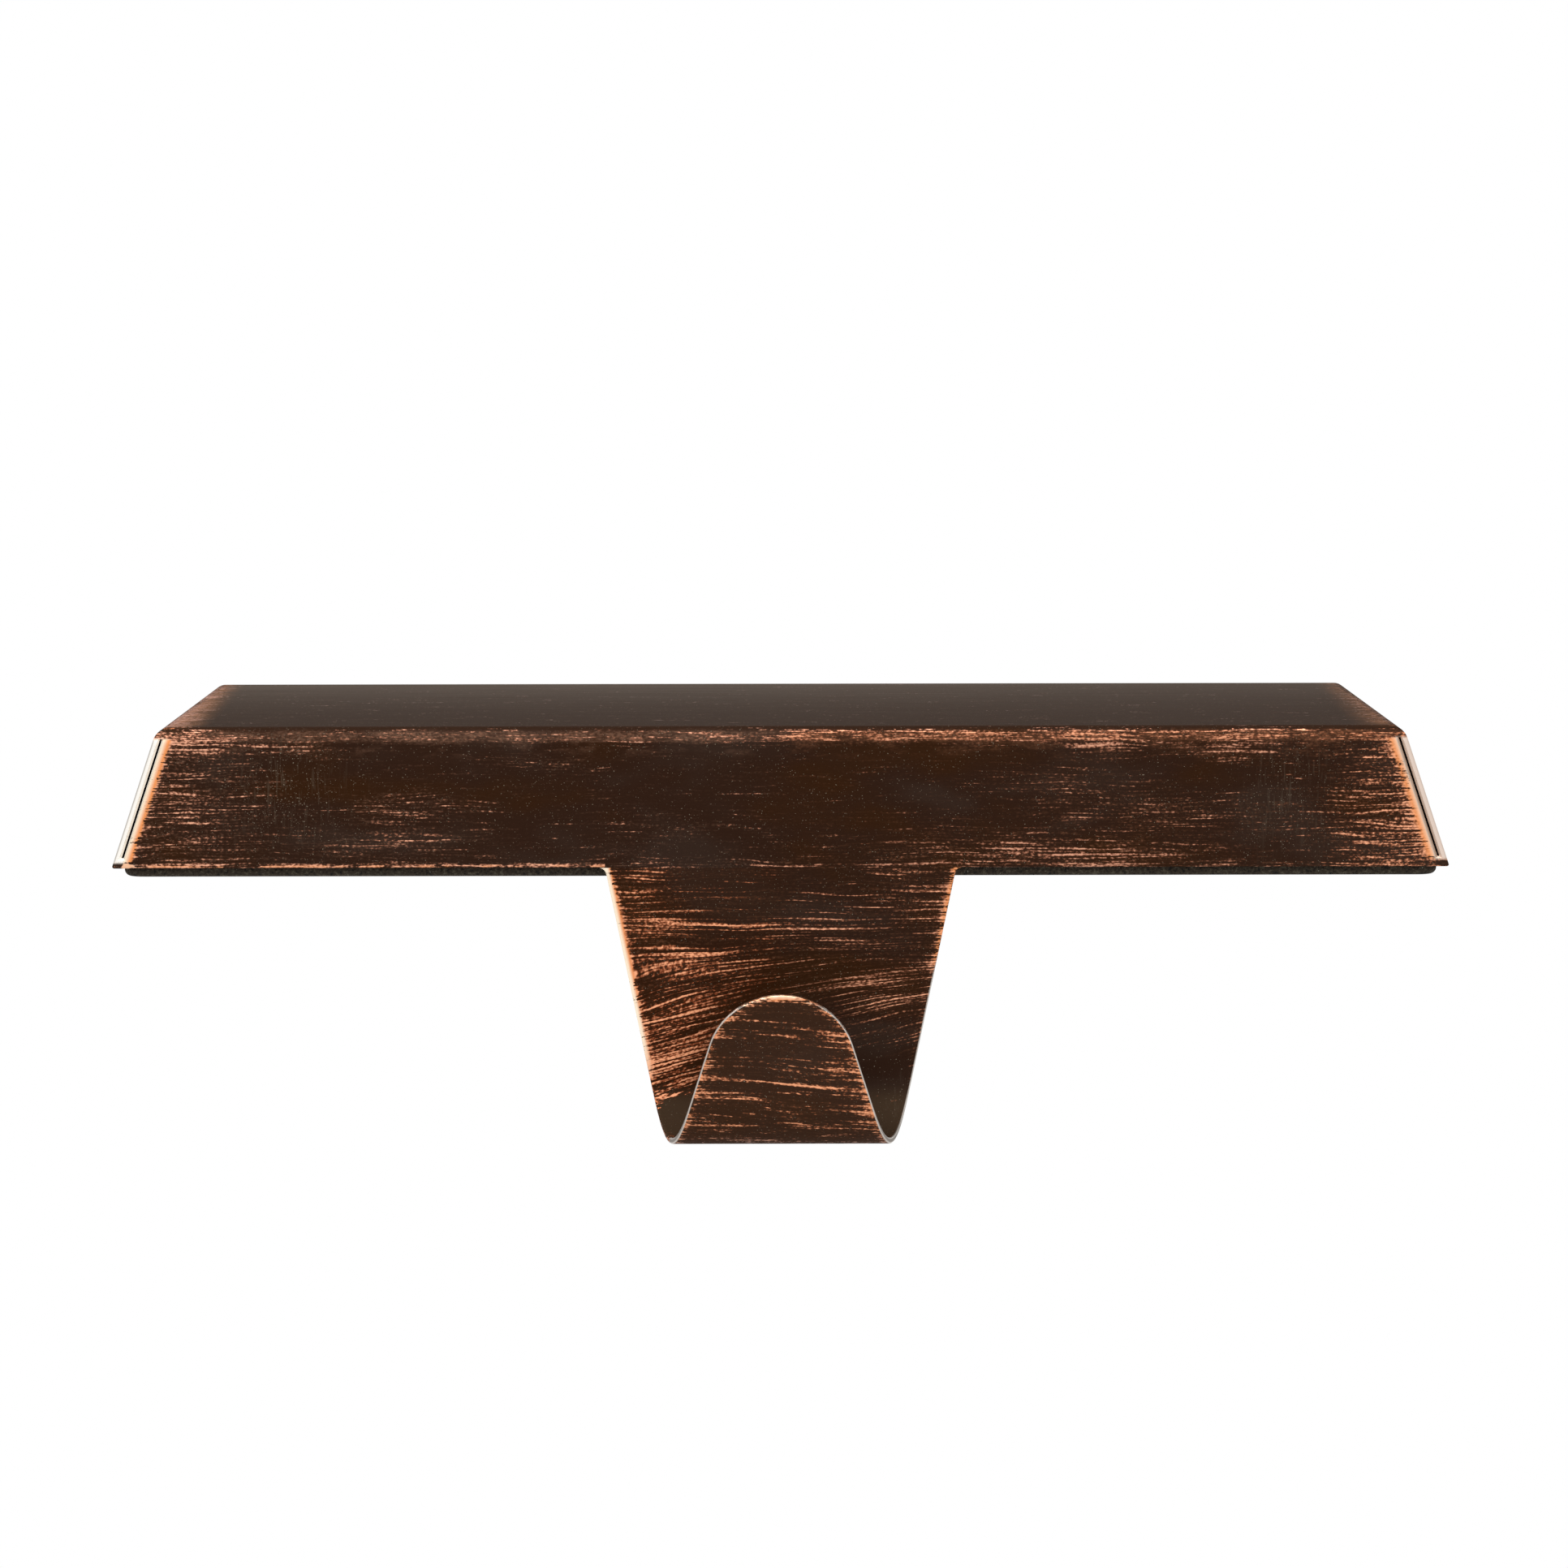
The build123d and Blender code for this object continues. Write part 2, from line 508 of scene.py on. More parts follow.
@dataclass
class WornSpot(Spot):
    """A spot with its wear: strokes, worn edges, the share of copper bared and where it is bare."""

    wear: Wear = Wear()

    def __post_init__(self) -> None:
        """Draws the brush and works out what it bared."""
        super().__post_init__()
        wear, brush = self.wear, self.wear.brush
        self.cloud = wear.clouds.over(self.place)
        self.clump = wear.clumps.over(self.place)
        self.bold, self.fine, self.grain = brush.layers(self)
        self.pits_and_glints = self.grain.ramp(*wear.pits)
        self.hook_edge = self.find_hook_edge()
        self.panel_edge = self.find_panel_edge()
        self.rim_edge = self.find_rim_edge()
        self.share = self.find_share()
        self.strokes = brush.strokes(self)
        self.excess = brush.excess(self.strokes, self.share)
        ends = (self.below.between(box, hook) for box, hook in zip(wear.box_edge, wear.hook_edge))
        self.bare = self.excess.ramp(*ends)

    def find_hook_edge(self) -> Field:
        """Finds the wear of the hook's edge: most on the tongue's left, in clumps at the round tip.

        Returns:
            The wear, from zero to one.
        """
        wear = self.wear
        edge = self.margin.ramp(*wear.hook) ** 2.0 * self.below
        edge = edge * (1 - self.right_low * wear.hook_right) * (1 - self.on_lip * wear.hook_lip)
        frayed = 1 - self.left * self.off_lip * self.place.z.ramp(*wear.fray) * wear.fray_loss
        clumps = self.clump.ramp(*wear.tip_clumps).between(*wear.tip_share)
        tip = self.margin.ramp(*wear.tip) * self.apex * clumps
        return (edge * self.left_tongue.between(*wear.hook_sides) * frayed).at_least(tip)

    def find_panel_edge(self) -> Field:
        """Finds the wear of the front and back panels along the slits, weaker at their feet.

        Returns:
            The wear, from zero to one.
        """
        wear, left = self.wear, self.left
        edge = self.panel.ramp(left.between(*wear.panel_from), left.between(*wear.panel_to)) ** 2.0
        edge = edge * self.flank * left.between(*wear.panel_sides)
        return edge * (self.slit + self.foot * left.between(*wear.panel_foot))

    def find_rim_edge(self) -> Field:
        """Finds the wear in a broken line just above the rim, beside the tongue.

        Returns:
            The wear, from zero to about one.
        """
        wear, place, cover = self.wear, self.place, self.cover
        rise = (place.z - cover.rim_z) + (abs(place.x) < cover.tongue_half) * cover.top_z
        edge = rise.ramp(*wear.rim) * rise.ramp(*wear.rim_under) * self.above
        edge = edge * self.panel.ramp(*wear.rim_inset) * self.left.between(*wear.rim_sides)
        return edge * self.clump.ramp(*wear.rim_clumps).between(*wear.rim_share)

    def find_share(self) -> Field:
        """Finds the share of copper bared: patches under the brush, and folds and edges that it ran over.

        Returns:
            The share, from about zero to one.
        """
        wear, cover = self.wear, self.cover
        share = wear.ground + self.ends * self.cloud.ramp(*wear.end_clouds).between(*wear.end_share)
        share = share + (1 - self.front) * wear.back
        for face, patches in cover.worn:
            mask = self.on_lip if face is Face.LIP else self.off_lip
            total = sum((patch.weight(self.place) for patch in patches), 0.0)
            share = share + total * self.front * mask
        share = share + self.hook_edge + self.panel_edge * wear.panel_share + self.rim_edge
        share = share + self.top_end * self.cloud.ramp(*wear.top_clouds).between(*wear.top_share)
        fold = wear.fold_share + wear.fold_clump * self.clump.ramp(*wear.fold_clumps)
        share = share + self.band * (fold + wear.fold_right * self.right)
        return share * (1 - self.upper * (1 - self.top_end) * wear.top_kept)


@dataclass(frozen=True)
class Lacquer:
    """Dark brown lacquer with warm and dusty clouds, a painted sheen greyer to the back of the top, a
    painted olive reflection in the bend, painted light on the lip and a painted shadow along the fold.
    """

    ground: Colour = shade(47, 29, 20)
    warm: Colour = shade(51, 29, 14)
    dusty: Colour = shade(56, 43, 36)
    ruddy: Colour = shade(50, 25, 9)
    # painted light: lighter lacquer on the lip, for the light it catches
    lip: Colour = shade(64, 43, 31)
    # painted sheen on the top: darker at its front, greyer at its back
    top_sheen_front: Colour = shade(44, 29, 18)
    top_sheen_back: Colour = shade(80, 69, 60)
    top_worn: Colour = shade(150, 102, 68)
    fold_shadow: Colour = shade(52, 33, 22)
    rubbed: Colour = shade(128, 84, 60)
    rubbed_dull: Colour = shade(128, 93, 74)
    # painted reflection: olive sheen in the hook's bend
    bend_sheen: Colour = shade(70, 54, 40)
    dust: Colour = shade(142, 130, 112)
    sheen_streaks: Mottle = Mottle(22.0, 1.1, 1.1, 3.0, 0.6)
    specks: Mottle = Mottle(0.13, 0.13, 0.13, 1.0, 0.5)
    scuffs: Mottle = Mottle(0.25, 1.0, 2.6, 2.0, 0.6)
    warm_clouds: Span = (0.48, 0.70)
    dusty_clouds: Span = (0.50, 0.34)
    dusty_part: float = 0.5
    ruddy_part: float = 0.9
    lip_light_part: float = 0.5
    sheen_streak_depth: float = 0.5  # how far streaks shift the painted sheen of the top
    sheen_right: Span = (-10.0, 60.0)
    sheen_loss: float = 0.18  # how much less painted sheen to the right
    top_clumps: Span = (0.40, 0.60)
    top_part: Span = (0.35, 0.85)
    under_drop: Span = (3.4, 1.6)  # below the top, where the fold's wear fades out
    under_clumps: Span = (0.46, 0.66)
    under_part: float = 0.16
    # lacquer rubbed thin on the fold, lightened partly as a painted highlight
    fold_clumps: Span = (0.40, 0.60)
    fold_part: Span = (0.18, 0.42)
    pit_part: Span = (0.55, 1.45)
    haze: Span = (-1.7, 0.2)  # rubbed ground round the strokes
    haze_part: Span = (0.14, 0.11)  # on the box, and on the hook
    faint_fine: float = 0.6  # faint scratches that don't reach the copper
    faint_grain: float = 0.4
    faint: Span = (0.52, 0.66)
    faint_share: Span = (-0.02, 0.12)
    faint_part: Span = (0.30, 0.17)
    # where the painted olive reflection lies, by how far the bend faces up
    bend_turn: Span = (0.05, 0.5)
    bend_sheen_part: float = 0.9
    beside: Span = (3.4, 1.6)  # back from the front, the painted shadow line along the fold
    beside_part: float = 0.6
    shadow_from: Span = (0.66, 0.86)
    shadow_to: Span = (0.9995, 0.985)
    shadow_part: float = 0.7
    scuff: Span = (0.54, 0.72)
    scuff_part: float = 0.12
    speck: Span = (0.71, 0.77)
    speck_dusty: float = 0.045  # how much thicker specks lie in the dusty patches
    speck_part: float = 0.8

    def colour(self, spot: WornSpot) -> Field:
        """The lacquer's colour, with its painted light and shade and all that lies on it."""
        return self.shaded_and_dusted(self.worn_through_and_lit(self.clouded_with_painted_light(spot), spot), spot)

    def clouded_with_painted_light(self, spot: WornSpot) -> Field:
        """The lacquer as it was laid on, with painted light on the lip and a painted sheen on the top.

        Args:
            spot: The shaded point.

        Returns:
            The colour.
        """
        place, tint = spot.place, spot.tint
        colour = tint(spot.cloud.ramp(*self.warm_clouds), self.ground, self.warm)
        colour = tint(spot.cloud.ramp(*self.dusty_clouds) * self.dusty_part, colour, self.dusty)
        colour = tint(spot.ruddy * self.ruddy_part, colour, self.ruddy)
        # painted light: the lip's lacquer made lighter
        colour = tint(spot.on_lip * self.lip_light_part, colour, self.lip)
        # painted sheen: the top greys towards its back, in streaks
        sheen_streak = (self.sheen_streaks.over(place) - NOISE_MEAN) * self.sheen_streak_depth
        top_sheen = (spot.depth + sheen_streak).at_least(0.0).at_most(1.0)
        top_sheen = top_sheen * (1 - place.x.ramp(*self.sheen_right) * self.sheen_loss)
        colour = tint(spot.upper, colour, tint(top_sheen * top_sheen, self.top_sheen_front, self.top_sheen_back))
        clumps = spot.clump.ramp(*self.top_clumps).between(*self.top_part)
        return tint(spot.top_end * clumps, colour, self.top_worn)

    def worn_through_and_lit(self, colour: Field, spot: WornSpot) -> Field:
        """Rubs the lacquer thin on the fold, where the lightening is partly a painted highlight, round the
        strokes and in faint scratches.

        Args:
            colour: The lacquer's colour.
            spot: The shaded point.

        Returns:
            The colour with its rubbed places and the fold's painted highlight.
        """
        place, tint = spot.place, spot.tint
        rubbed = tint(spot.left * spot.above, self.rubbed, self.rubbed_dull)
        under = place.z.ramp(*(spot.cover.top_z - drop for drop in self.under_drop))
        under = under * spot.front * (1 - spot.band) * (1 - spot.upper)
        # rubbed fold, partly worn and partly a painted highlight where the fold catches light
        thin_and_lit = spot.band * spot.clump.ramp(*self.fold_clumps).between(*self.fold_part)
        thin_and_lit = thin_and_lit + under * spot.clump.ramp(*self.under_clumps) * self.under_part
        pits = spot.pits_and_glints.between(*self.pit_part)
        colour = tint(thin_and_lit * pits, colour, rubbed)
        haze = spot.excess.ramp(*self.haze) * spot.below.between(*self.haze_part)
        colour = tint(haze, colour, rubbed)
        faint = (spot.fine * self.faint_fine + spot.grain * self.faint_grain).ramp(*self.faint)
        faint = faint * spot.front * (1 - spot.upper) * spot.share.ramp(*self.faint_share)
        return tint(faint * spot.below.between(*self.faint_part), colour, rubbed)

    def shaded_and_dusted(self, colour: Field, spot: Spot) -> Field:
        """Paints shade along the fold, a painted olive reflection in the bend, and lays dust on.

        Args:
            colour: The lacquer's colour.
            spot: The shaded point.

        Returns:
            The colour with its painted shade, painted reflection and dust.
        """
        place, cover, tint = spot.place, spot.cover, spot.tint
        # painted olive reflection where the bend faces up
        colour = tint(place.up.ramp(*self.bend_turn) * spot.below * self.bend_sheen_part, colour, self.bend_sheen)
        # painted shadow along the fold and beside it on the top
        beside = place.y.ramp(*(cover.front_y + run for run in self.beside)) * spot.upper * self.beside_part
        shadow = place.up.ramp(*self.shadow_from) * place.up.ramp(*self.shadow_to) * spot.above
        colour = tint(shadow.at_least(beside) * self.shadow_part, colour, self.fold_shadow)
        dusty = sum((patch.weight(place) for patch in cover.dusty), 0.0) * spot.front
        scuff = self.scuffs.over(place).ramp(*self.scuff) * dusty * self.scuff_part
        colour = tint(scuff, colour, self.dust)
        speck = (self.specks.over(place) + dusty * self.speck_dusty).ramp(*self.speck)
        return tint(speck * self.speck_part, colour, self.dust)


@dataclass(frozen=True)
class Copper:
    """Copper plate where it is bare: brighter with the stroke and with painted glints, orange and then cream
    towards an edge, the cream a painted highlight.
    """

    deep: Colour = shade(128, 72, 46)
    ruddy: Colour = shade(128, 60, 32)
    dull: Colour = shade(128, 80, 60)
    bright: Colour = shade(250, 172, 128)
    pale: Colour = shade(248, 182, 148)
    edge: Colour = shade(242, 152, 88)
    edge_inner: Colour = shade(214, 118, 58)
    top: Colour = shade(190, 112, 66)
    cream_highlight: Colour = shade(255, 236, 210)
    pale_fold: float = 0.7  # how much less pale on the fold's right
    pale_end: float = 0.6  # and at the right end
    pale_tongue: float = 0.6  # how pale on the tongue's right
    glint_share: Span = (0.75, 0.95)
    glint: Span = (0.45, 1.0)
    full_tone: Span = (0.0, 1.6)
    fold_tone: float = 0.2  # how much darker on the fold
    ruddy_tone: float = 0.3  # how much brighter on the tongue's left
    right_tone: float = 0.3  # how much darker on the right half's face
    rim_part: float = 0.5
    warm: Span = (0.25, 0.8)
    warm_tip: float = 0.5  # how much less orange at the tip
    inner: Span = (0.25, 0.8)
    top_from: Span = (0.1, 0.5)
    lit_tongue: Span = (0.55, 0.12)
    lit_tip: Span = (0.40, 0.12)
    lit_clumps: Span = (0.44, 0.58)
    lit_tip_part: float = 0.6
    lit_from: Span = (0.75, 0.72)  # painted highlight in cream along the slits, right and left
    lit_to: Span = (0.30, 0.12)
    lit_sides: Span = (0.4, 1.0)
    lit_foot: Span = (1.7, 0.5)
    lit_foot_part: float = 0.45

    def colour(self, spot: WornSpot) -> Field:
        """The copper's colour.

        Args:
            spot: The shaded point.

        Returns:
            The colour.
        """
        tint = spot.tint
        colour = self.brushed(spot)
        warm = spot.hook_edge + spot.panel_edge + spot.rim_edge * self.rim_part
        edge = tint(spot.margin.ramp(*self.inner) * spot.below, self.edge, self.edge_inner)
        colour = tint(warm.ramp(*self.warm) * (1 - spot.apex * self.warm_tip), colour, edge)
        colour = tint(spot.top_end.ramp(*self.top_from), colour, self.top)
        # painted highlight in cream where an edge catches the light
        return tint(self.lit(spot).at_most(1.0), colour, self.cream_highlight)

    def brushed(self, spot: WornSpot) -> Field:
        """The copper within the strokes.

        Args:
            spot: The shaded point.

        Returns:
            The colour.
        """
        tint = spot.tint
        pale = 1 - spot.band * spot.right * self.pale_fold
        pale = spot.above * pale * (1 - spot.right_end * self.pale_end)
        pale = pale.at_least(spot.below * spot.right * spot.off_lip * self.pale_tongue)
        deep = tint(spot.ruddy, tint(pale, self.deep, self.dull), self.ruddy)
        # painted glints in the strokes, from the grain
        glint = spot.pits_and_glints.at_least(spot.share.ramp(*self.glint_share) * spot.on_lip)
        tone = spot.excess.ramp(*self.full_tone) * glint.between(*self.glint)
        tone = tone * (1 - spot.band * self.fold_tone) * (1 + spot.ruddy * self.ruddy_tone)
        face = spot.above * spot.right * (1 - spot.right_end) * (1 - spot.band)
        tone = tone * (1 - face * self.right_tone)
        return tint(tone.at_most(1.0), deep, tint(pale, self.bright, self.pale))

    def lit(self, spot: WornSpot) -> Field:
        """Where an edge catches the light: the tongue's left, the tip, the slits and their left feet.

        Args:
            spot: The shaded point.

        Returns:
            How strong the light is.
        """
        left = spot.left
        lit = spot.margin.ramp(*self.lit_tongue) * spot.below * spot.left_tongue
        clumps = spot.clump.ramp(*self.lit_clumps) * self.lit_tip_part
        lit = lit + spot.margin.ramp(*self.lit_tip) * spot.apex * clumps
        slit = spot.panel.ramp(left.between(*self.lit_from), left.between(*self.lit_to))
        lit = lit + slit * spot.flank * spot.slit * left.between(*self.lit_sides)
        foot = spot.panel.ramp(*self.lit_foot) * spot.flank * spot.foot
        return lit + foot * left * self.lit_foot_part


@dataclass(frozen=True)
class SheetSteel:
    """Raw steel on the sheared edges of the hook and in the mouths of the slits, with a painted chalk-white
    highlight in the left mouths.
    """

    hook: Colour = shade(200, 191, 182)
    dark: Colour = shade(104, 92, 80)
    flap: Colour = shade(226, 206, 192)
    mouth: Colour = shade(200, 182, 166)
    chalk_highlight: Colour = shade(255, 250, 242)
    hook_edge: Span = (0.16, 0.05)
    mouth_from: Span = (0.36, 0.18)  # mouths of the slits, right and left
    mouth_to: Span = (0.21, 0.02)
    side_turn: Span = (0.84, 0.97)
    outline: Span = (-0.60, -0.74)  # outer edge of the end flaps
    outline_sides: Span = (0.2, 0.55)

    def over(self, colour: Field, spot: Spot) -> tuple[Field, Field]:
        """Lays the raw edges over a colour.

        Args:
            colour: Lacquer and copper.
            spot: The shaded point.

        Returns:
            The colour with its raw edges, and one where the steel is raw.
        """
        place, tint, left = spot.place, spot.tint, spot.left
        bared = (spot.on_lip * (1 - spot.apex) + spot.right_low).at_most(1.0)
        raw = spot.margin.ramp(*self.hook_edge) * spot.below * bared
        mouth = spot.panel.ramp(left.between(*self.mouth_from), left.between(*self.mouth_to))
        mouth = mouth * spot.flank * spot.slit
        raw = (raw + mouth).at_most(1.0)
        steel = tint(abs(place.east).ramp(*self.side_turn) * spot.below, self.hook, self.dark)
        steel = tint(mouth, steel, tint(spot.flap, self.mouth, self.flap))
        # painted highlight: the left mouths chalk-white
        steel = tint(left * mouth, steel, self.chalk_highlight)
        outline = spot.panel.ramp(*self.outline) * mouth * left.between(*self.outline_sides)
        return tint(raw, colour, tint(outline, steel, self.dark)), raw


@dataclass(frozen=True)
class BrushedBronze:
    """Dark brown lacquer over copper plate, brushed through in strokes and worn off at the edges."""

    wear: Wear = Wear()
    lacquer: Lacquer = Lacquer()
    copper: Copper = Copper()
    steel: SheetSteel = SheetSteel()
    gloss: float = 0.010  # specular level of the lacquer
    lacquer_rough: float = 0.64
    copper_rough: float = 0.36
    scratch_rough: float = 0.12
    stroke_height: float = 0.6  # heights of the bump, as parts of its depth
    copper_depth: float = 0.3
    bump: float = 0.35
    bump_depth: float = 0.00006  # metres


@dataclass
class Cover:
    """Folded sheet cover with its hook. Sizes in millimetres and degrees."""

    node: str = "cover"
    sheet: float = 0.6
    fold_radius: float = 1.6
    cover_depth: float = 63.5
    half_rim: float = 63.577
    rim_z: float = 0.9
    top_z: float = 14.3
    end_slope: float = 18.4
    corner_gap: float = 0.18
    tongue_half: float = 16.7
    tongue_taper: float = 11.8
    tongue_drop: float = 20.1
    hook_radius: float = 5.0
    lip_lean: float = 15.0
    lip_taper: float = 16.9
    lip_length: float = 11.2
    worn: tuple[tuple[Face, tuple[Patch, ...]], ...] = (
        (Face.FRONT, (
            Patch(-57.5, 6.5, 6.0, 8.0, 0.18),
            Patch(-55.0, 12.8, 5.0, 0.9, 0.30),
            Patch(-58.0, 13.1, 2.6, 0.9, 0.40),
            Patch(-47.0, 12.4, 4.0, 0.7, 0.22),
            Patch(-35.5, 6.6, 4.5, 1.1, 0.20),
            Patch(-37.0, 3.2, 6.5, 1.6, 0.14),
            Patch(-23.0, 10.8, 4.0, 0.6, 0.07),
            Patch(-11.0, 5.2, 4.5, 0.9, 0.06),
            Patch(27.0, 2.2, 11.0, 1.3, 0.35),
            Patch(27.5, 8.7, 5.0, 1.2, 0.10),
            Patch(35.0, 6.0, 10.0, 1.5, 0.11),
            Patch(59.5, 5.0, 5.6, 4.4, 0.43),
            Patch(58.0, 12.3, 4.0, 1.5, 0.38),
            Patch(31.0, 12.7, 3.5, 1.0, 0.34),
            Patch(43.0, 12.4, 4.5, 0.9, 0.30),
            Patch(18.0, 13.4, 30.0, 0.6, 0.28),
            Patch(0.0, 1.1, 15.0, 0.30, 0.14),
            Patch(-13.0, -1.5, 3.5, 3.0, 0.20),
            Patch(-11.5, -4.4, 5.5, 1.1, 0.51),
            Patch(0.5, -4.8, 5.0, 0.5, 0.34),
            Patch(-11.0, -8.2, 6.0, 1.8, 0.50),
            Patch(1.0, -6.0, 11.0, 5.5, 0.085),
            Patch(13.5, -2.5, 4.0, 5.0, 0.16),
            Patch(9.0, -9.8, 5.5, 0.7, 0.36, 8.0),
            Patch(10.0, -12.2, 5.0, 0.8, 0.42, 12.0),
            Patch(10.5, -15.0, 4.0, 2.2, 0.06, 12.0),
            Patch(-11.0, -13.5, 4.5, 2.2, 0.50, 12.0),
            Patch(-10.6, -17.4, 4.5, 1.6, 0.74, 12.0),
            Patch(-10.5, -20.6, 3.0, 1.4, 0.40, 10.0),
            Patch(8.5, -20.8, 4.5, 2.6, -0.20),
            Patch(-9.0, -23.5, 5.0, 2.2, -0.90),
        )),
        (Face.LIP, (
            Patch(0.0, -17.0, 12.0, 12.0, 0.045),
            Patch(1.0, -18.4, 8.5, 0.15, 0.98, -5.3),
            Patch(1.0, -13.6, 4.0, 0.20, 0.50, -2.0),
            Patch(5.2, -14.0, 1.6, 0.5, 0.45, -15.0),
            Patch(5.8, -16.7, 1.8, 0.9, 0.36),
            Patch(-2.5, -20.0, 4.0, 0.4, 0.20, -6.0),
            Patch(3.5, -22.5, 4.0, 0.5, 0.20, -6.0),
            Patch(-2.0, -24.2, 5.0, 0.20, 0.30, -4.0),
            Patch(-7.2, -19.5, 1.2, 2.6, 0.22),
            Patch(8.2, -21.2, 1.2, 1.8, 0.36),
            Patch(0.0, -9.6, 4.5, 0.6, 0.60),
        )),
    )
    dusty: tuple[Patch, ...] = (
        Patch(-47.0, 8.5, 5.0, 5.5, 1.0),
        Patch(48.5, 8.0, 4.5, 5.5, 0.8),
        Patch(11.0, -20.8, 1.3, 2.6, 0.6),
    )

    @property
    def front_y(self) -> float:
        """Y of the front panel's outer face."""
        return -self.cover_depth / 2

    @property
    def hub(self) -> tuple[float, float]:
        """Y and Z of the line that the hook is bent round."""
        return self.front_y - self.hook_radius, self.rim_z - self.tongue_drop

    def hook_margin(self, place: Place) -> tuple[Field, Field]:
        """Works out how far a point of the hook lies from its sheared edge.

        Args:
            place: The shaded point.

        Returns:
            The distance in from the edge in millimetres, and one on the lip's side of the bend.
        """
        hub_y, bend_z = self.hub
        bend_radius = self.hook_radius + self.sheet / 2
        lean = math.radians(self.lip_lean)
        bend_turn = math.pi - lean
        bend_length = bend_radius * bend_turn
        tongue_slope = math.tan(math.radians(self.tongue_taper))
        lip_slope = math.tan(math.radians(self.lip_taper))
        lip_sin = math.sin(math.radians(self.lip_taper))
        lip_cos = math.cos(math.radians(self.lip_taper))
        bend_half = self.tongue_half - self.tongue_drop * tongue_slope
        lip_half = bend_half - bend_length * (tongue_slope + lip_slope) / 2
        tip_radius = (lip_half * lip_cos - self.lip_length * lip_sin) / (1 - lip_sin)
        tip_start = self.lip_length - tip_radius * (1 - lip_sin)
        lip_y = hub_y - bend_radius * math.cos(lean)
        lip_z = bend_z - bend_radius * math.sin(lean)

        # Length along the strip: straight down the tongue, round the bend, then up the lip
        on_lip = (place.y < hub_y) * (place.z < self.rim_z)
        straight = (self.rim_z - place.z).at_most(self.tongue_drop).at_least(on_lip * self.tongue_drop)
        turn = place.y.apply("ARCTAN2", hub_y - place.y, bend_z - place.z) + math.pi / 2
        bend = turn.at_least(0.0).at_most(bend_turn) * bend_radius
        bend = bend * (place.z < bend_z).at_least(on_lip)
        lip_run = (place.z - lip_z) * math.cos(lean) - (place.y - lip_y) * math.sin(lean)
        lip_run = lip_run.at_least(0.0) * on_lip

        # Half width there, and the round tip
        half = self.tongue_half - (straight + bend) * tongue_slope
        half = half - bend * bend * ((lip_slope - tongue_slope) / (2 * bend_length)) - lip_run * lip_slope
        side = (half - abs(place.x)) * lip_cos
        up_tip = lip_run - (self.lip_length - tip_radius)
        tip = tip_radius - (place.x * place.x + up_tip * up_tip) ** 0.5
        return side + (tip - side) * (lip_run > tip_start), on_lip

    def panel_margin(self, place: Place) -> Field:
        """Works out how far a point of the front or back panel lies in from its leaning side.

        Args:
            place: The shaded point.

        Returns:
            The distance in millimetres.
        """
        slope = math.radians(self.end_slope)
        inset = (self.sheet + self.corner_gap) / math.cos(slope)
        side_x = (self.half_rim - inset) - (place.z - self.rim_z) * math.tan(slope)
        return (side_x - abs(place.x)) * math.cos(slope)

    def dress(self, finish: BrushedBronze) -> bpy.types.Object:
        """Gives the cover its finish.

        Args:
            finish: Lacquer, copper, raw edges and how they are worn.

        Returns:
            The cover's object.
        """
        material, graph = new_material("brushed_bronze")
        spot = WornSpot(self, Place(graph), wear=finish.wear)
        lacquer = finish.lacquer.colour(spot)
        colour = graph.tint(spot.bare, lacquer, finish.copper.colour(spot))
        colour, raw = finish.steel.over(colour, spot)
        metal = spot.bare.at_least(raw)
        rough = metal.between(finish.lacquer_rough, finish.copper_rough)
        height = spot.strokes * finish.stroke_height - spot.bare * finish.copper_depth
        graph.surface({
            "Base Color": colour,
            "Metallic": metal,
            "Roughness": rough + (spot.fine - NOISE_MEAN) * finish.scratch_rough,
            "Specular IOR Level": finish.gloss,
            "Normal": graph.bump(height, finish.bump, finish.bump_depth),
        })
        return dress_node(self.node, material)


@dataclass(frozen=True)
class RawIron:
    """Sand-cast iron, grey with darker pits and a little rust."""

    skin: Colour = shade(92, 90, 88)
    pit: Colour = shade(48, 46, 45)
    rust: Colour = shade(104, 72, 52)
    sand: Mottle = Mottle(0.7, 0.7, 0.7, 3.0, 0.6)
    rust_clouds: Mottle = Mottle(9.0, 9.0, 9.0, 3.0, 0.6)
    pits: Span = (0.35, 0.6)
    rusty: Span = (0.52, 0.7)
    rust_part: float = 0.6
    metal: float = 0.4
    rough: Span = (0.62, 0.87)
    bump: float = 0.5
    bump_depth: float = 0.0002  # metres


@dataclass
class Weight:
    """Cast block inside the cover."""

    node: str = "weight"

    def dress(self, finish: RawIron) -> bpy.types.Object:
        """Gives the block its raw casting skin.

        Args:
            finish: Colours and grain of the iron.

        Returns:
            The block's object.
        """
        material, graph = new_material("raw_iron")
        place = Place(graph)
        sand = finish.sand.over(place)
        rust = finish.rust_clouds.over(place).ramp(*finish.rusty) * finish.rust_part
        colour = graph.tint(sand.ramp(*finish.pits), finish.pit, finish.skin)
        graph.surface({
            "Base Color": graph.tint(rust, colour, finish.rust),
            "Metallic": finish.metal,
            "Roughness": sand.between(*finish.rough),
            "Normal": graph.bump(sand, finish.bump, finish.bump_depth),
        })
        return dress_node(self.node, material)


